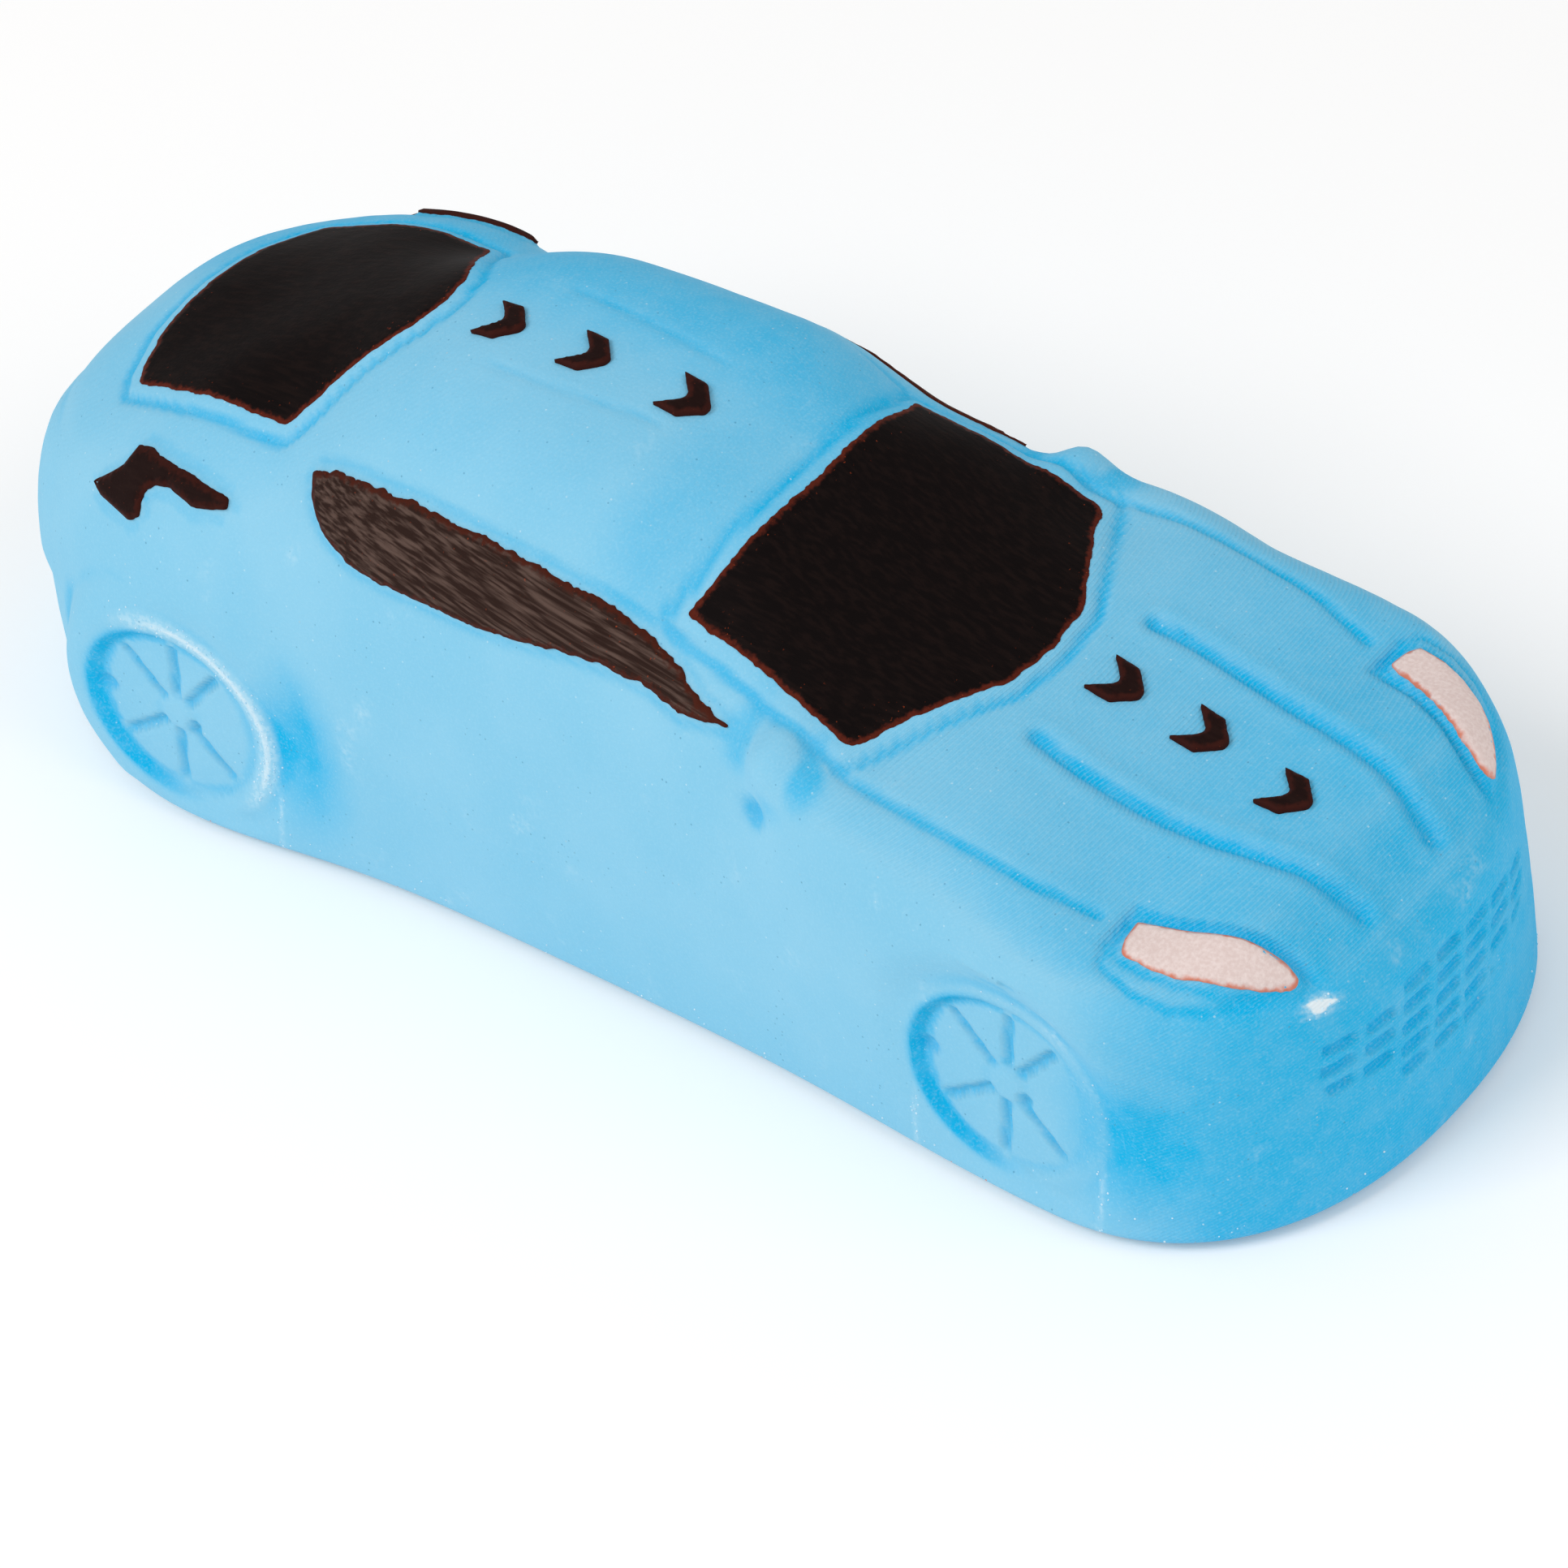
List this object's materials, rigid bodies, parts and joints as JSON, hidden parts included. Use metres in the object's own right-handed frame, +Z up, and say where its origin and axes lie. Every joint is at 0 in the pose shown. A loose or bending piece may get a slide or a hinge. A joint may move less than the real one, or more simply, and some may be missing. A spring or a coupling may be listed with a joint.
{
  "type": "pull back toy car",
  "caption": "Small sleek toy car with a one-piece moulded body, painted windows and lamps, and a hidden pull-back motor on a screwed-on chassis.",
  "frame": {"origin": "on the ground under the middle of the car's length and width", "axes": "+Z up, -Y towards the nose, +X towards the car's left side"},
  "size_m": [0.0518, 0.14, 0.0472],
  "materials": {
    "blue_casting": "matt, chalky, cast",
    "window_paint": "matt brushed dark brown",
    "headlamp_paint": "matt pale pink",
    "lamp_brown": "matt dark brown",
    "chevron_brown": "matt dark brown",
    "chassis_black": "moulded black, fine grain",
    "plated_steel": "zinc plated",
    "wheel_grey": "moulded grey",
    "tyre_black": "soft matt black",
    "case_grey": "moulded pale grey",
    "gear_white": "moulded white acetal",
    "spring_steel": "blued strip"
  },
  "bodies": {
    "car_body": {"body_shell": "blue_casting", "windscreen": "window_paint", "rear_window": "window_paint", "side_window_left": "window_paint", "side_window_right": "window_paint", "headlamp_left": "headlamp_paint", "headlamp_right": "headlamp_paint", "tail_lamp_left": "lamp_brown", "tail_lamp_right": "lamp_brown", "roof_chevron_front": "chevron_brown", "roof_chevron_middle": "chevron_brown", "roof_chevron_rear": "chevron_brown", "bonnet_chevron_front": "chevron_brown", "bonnet_chevron_middle": "chevron_brown", "bonnet_chevron_rear": "chevron_brown", "chassis_plate": "chassis_black", "chassis_screws": "plated_steel", "motor_case_left": "case_grey", "motor_case_right": "case_grey", "motor_case_screws": "plated_steel", "motor_foot_screws": "plated_steel", "barrel_arbor": "plated_steel"},
    "front_wheelset": {"front_axle": "plated_steel", "front_wheel_left": "wheel_grey", "front_wheel_right": "wheel_grey", "front_tyre_left": "tyre_black", "front_tyre_right": "tyre_black"},
    "rear_wheelset": {"rear_axle": "plated_steel", "rear_wheel_left": "wheel_grey", "rear_wheel_right": "wheel_grey", "rear_tyre_left": "tyre_black", "rear_tyre_right": "tyre_black", "axle_pinion": "gear_white"},
    "counter": {"counter_gear": "gear_white", "counter_arbor": "plated_steel"},
    "barrel": {"barrel_gear": "gear_white", "barrel_drum": "gear_white", "barrel_cover": "gear_white", "mainspring": "spring_steel"}
  },
  "joints": [
    {"name": "front_axle_spin", "type": "hinge", "parent": "car_body", "child": "front_wheelset", "pos_m": [0, -0.045, 0.008], "axis": [1, 0, 0], "continuous": true},
    {"name": "rear_axle_spin", "type": "hinge", "parent": "car_body", "child": "rear_wheelset", "pos_m": [0, 0.041, 0.008], "axis": [1, 0, 0], "continuous": true},
    {"name": "counter_spin", "type": "hinge", "parent": "car_body", "child": "counter", "pos_m": [0, 0.0324, 0.01402], "axis": [1, 0, 0], "continuous": true},
    {"name": "barrel_spin", "type": "hinge", "parent": "car_body", "child": "barrel", "pos_m": [0, 0.02066, 0.01652], "axis": [1, 0, 0], "continuous": true}
  ],
  "couplings": [
    {"joint": "counter_spin", "follows": "rear_axle_spin", "ratio": -0.4},
    {"joint": "barrel_spin", "follows": "rear_axle_spin", "ratio": 0.13333}
  ]
}
